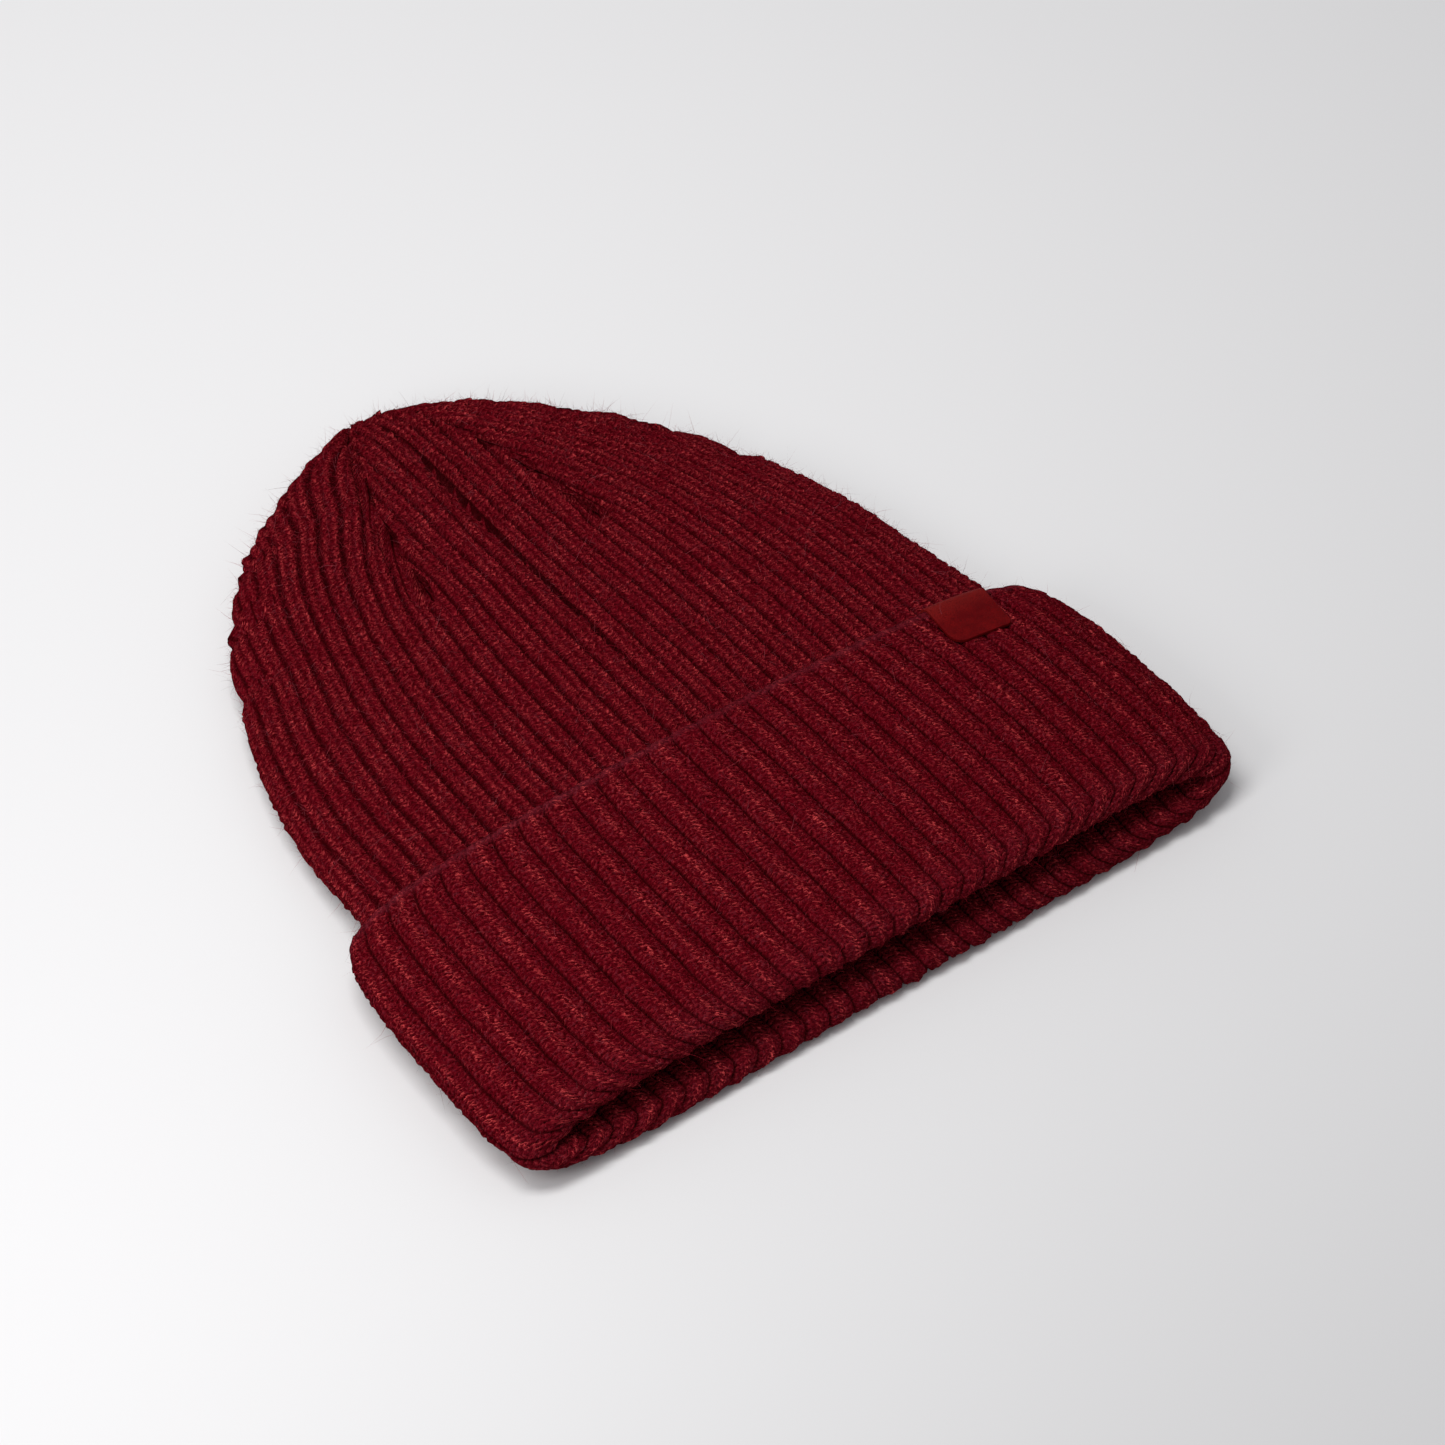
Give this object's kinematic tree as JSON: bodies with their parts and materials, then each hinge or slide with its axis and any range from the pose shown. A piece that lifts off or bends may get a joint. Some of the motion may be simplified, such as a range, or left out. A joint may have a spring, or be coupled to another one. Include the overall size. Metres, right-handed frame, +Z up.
{
  "type": "fisherman beanie",
  "caption": "Rib-knitted beanie lying flat, with a deep turned-up cuff, a crown gathered by darts at the apex and a small folded leather tab on the cuff.",
  "frame": {"origin": "on the surface that the hat lies on, under the middle of its bounding box", "axes": "+X across the hat, towards the tab's side; +Y from the cuff's fold to the apex; +Z up"},
  "size_m": [0.2182, 0.2374, 0.0234],
  "materials": {
    "rib_knit": "brushed wool-blend yarn, dark crimson melange, two by two rib",
    "tab_leather": "thin smooth brick red leather, slightly matt"
  },
  "bodies": {
    "root": {"knit_body": "rib_knit", "leather_tab": "tab_leather"}
  },
  "joints": []
}
